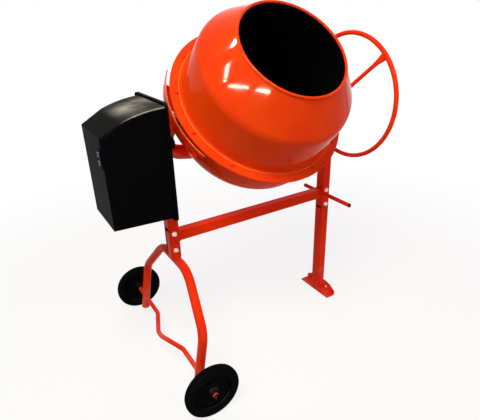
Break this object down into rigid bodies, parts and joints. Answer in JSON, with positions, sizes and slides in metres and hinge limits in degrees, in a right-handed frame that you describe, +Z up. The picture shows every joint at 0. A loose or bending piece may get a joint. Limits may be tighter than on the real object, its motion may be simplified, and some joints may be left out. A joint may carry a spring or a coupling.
{
  "type": "concrete mixer",
  "caption": "Tilting electric concrete mixer: a steel drum spun by a ring gear in a yoke, a hand wheel to tip it, a motor housing, and a stand with two wheels and a foot.",
  "frame": {"origin": "on the floor, under the middle of the machine's length and depth", "axes": "+X from the motor housing to the hand wheel, +Z up, the drum's mouth towards -Y"},
  "size_m": [1.076, 0.7786, 1.282],
  "materials": {
    "orange_paint": "gloss enamel",
    "zinc_steel": "zinc plated",
    "black_plastic": "satin black moulding",
    "black_gloss": "gloss black moulding",
    "tyre_rubber": "solid rubber",
    "cast_iron": "greased casting",
    "black_lining": "dark paint inside the drum",
    "belt_rubber": "ribbed belt",
    "motor_aluminium": "cast aluminium",
    "blue_plastic": "dark blue push buttons"
  },
  "bodies": {
    "stand": {"left_post": "orange_paint", "right_post": "orange_paint", "leg_socket": "orange_paint", "right_leg": "orange_paint", "cross_beam": "orange_paint", "lift_handle": "orange_paint", "foot_plate": "orange_paint", "foot_gussets": "orange_paint", "frame_bolts": "zinc_steel", "wheel_hoop": "orange_paint", "axle": "orange_paint", "axle_washers": "black_plastic", "split_pins": "zinc_steel", "left_bearing_head": "orange_paint", "right_bearing_head": "orange_paint", "lock_plate": "orange_paint", "lock_guide": "orange_paint", "motor_base": "black_plastic", "motor_cover": "black_plastic", "cover_screws": "zinc_steel", "motor": "motor_aluminium", "motor_bracket": "orange_paint", "drive_belt": "belt_rubber", "switch_box": "black_gloss", "power_inlet": "black_plastic", "clamp_knob": "black_plastic"},
    "yoke": {"yoke": "orange_paint", "left_trunnion": "orange_paint", "pinion_bearings": "zinc_steel", "drum_spindle": "zinc_steel", "gear_guard": "orange_paint", "hand_wheel_shaft": "orange_paint", "hand_wheel_hub": "orange_paint", "hand_wheel_rim": "orange_paint", "hand_wheel_spokes": "orange_paint", "hand_wheel_nut": "zinc_steel", "index_disc": "orange_paint"},
    "drum": {"drum_bowl": "orange_paint", "drum_cone": "orange_paint", "ring_gear": "orange_paint", "flange_bolts": "orange_paint", "mixing_blades": "black_lining", "blade_bolts": "orange_paint", "drum_hub": "orange_paint", "drum_bearings": "zinc_steel", "hub_bolts": "zinc_steel"},
    "pinion": {"pinion": "cast_iron", "pinion_shaft": "zinc_steel", "drum_pulley": "cast_iron"},
    "rotor": {"rotor_shaft": "zinc_steel", "motor_pulley": "cast_iron"},
    "front_wheel": {"front_wheel_tyre": "tyre_rubber", "front_wheel_hub": "black_plastic"},
    "rear_wheel": {"rear_wheel_tyre": "tyre_rubber", "rear_wheel_hub": "black_plastic"},
    "start_button": {"start_button": "blue_plastic"},
    "stop_button": {"stop_button": "blue_plastic"},
    "lock": {"lock_pin": "zinc_steel", "lock_knob": "black_plastic"}
  },
  "joints": [
    {"name": "tilt", "type": "hinge", "parent": "stand", "child": "yoke", "pos_m": [0.0545, 0, 0.916], "axis": [1, 0, 0], "range_deg": [-170, 80]},
    {"name": "drum_spin", "type": "hinge", "parent": "yoke", "child": "drum", "pos_m": [0.0545, 0, 0.916], "axis": [0, -0.7096, 0.7046], "continuous": true},
    {"name": "pinion_spin", "type": "hinge", "parent": "yoke", "child": "pinion", "pos_m": [0.0545, 0, 0.916], "axis": [1, 0, 0], "continuous": true},
    {"name": "motor_spin", "type": "hinge", "parent": "stand", "child": "rotor", "pos_m": [-0.3685, 0, 0.745], "axis": [1, 0, 0], "continuous": true},
    {"name": "front_wheel_spin", "type": "hinge", "parent": "stand", "child": "front_wheel", "pos_m": [-0.361, -0.362, 0.1], "axis": [0, 1, 0], "continuous": true},
    {"name": "rear_wheel_spin", "type": "hinge", "parent": "stand", "child": "rear_wheel", "pos_m": [-0.361, 0.362, 0.1], "axis": [0, 1, 0], "continuous": true},
    {"name": "start_press", "type": "slide", "parent": "stand", "child": "start_button", "axis": [1, 0, 0], "range_m": [0, 0.003], "stiffness_N_per_m": 500, "springref_m": -0.001},
    {"name": "stop_press", "type": "slide", "parent": "stand", "child": "stop_button", "axis": [1, 0, 0], "range_m": [0, 0.003], "stiffness_N_per_m": 500, "springref_m": -0.001},
    {"name": "lock_slide", "type": "slide", "parent": "stand", "child": "lock", "axis": [0, 0, 1], "range_m": [0, 0.012]}
  ],
  "couplings": [
    {"joint": "pinion_spin", "follows": "drum_spin", "ratio": 10},
    {"joint": "motor_spin", "follows": "drum_spin", "ratio": 50}
  ]
}
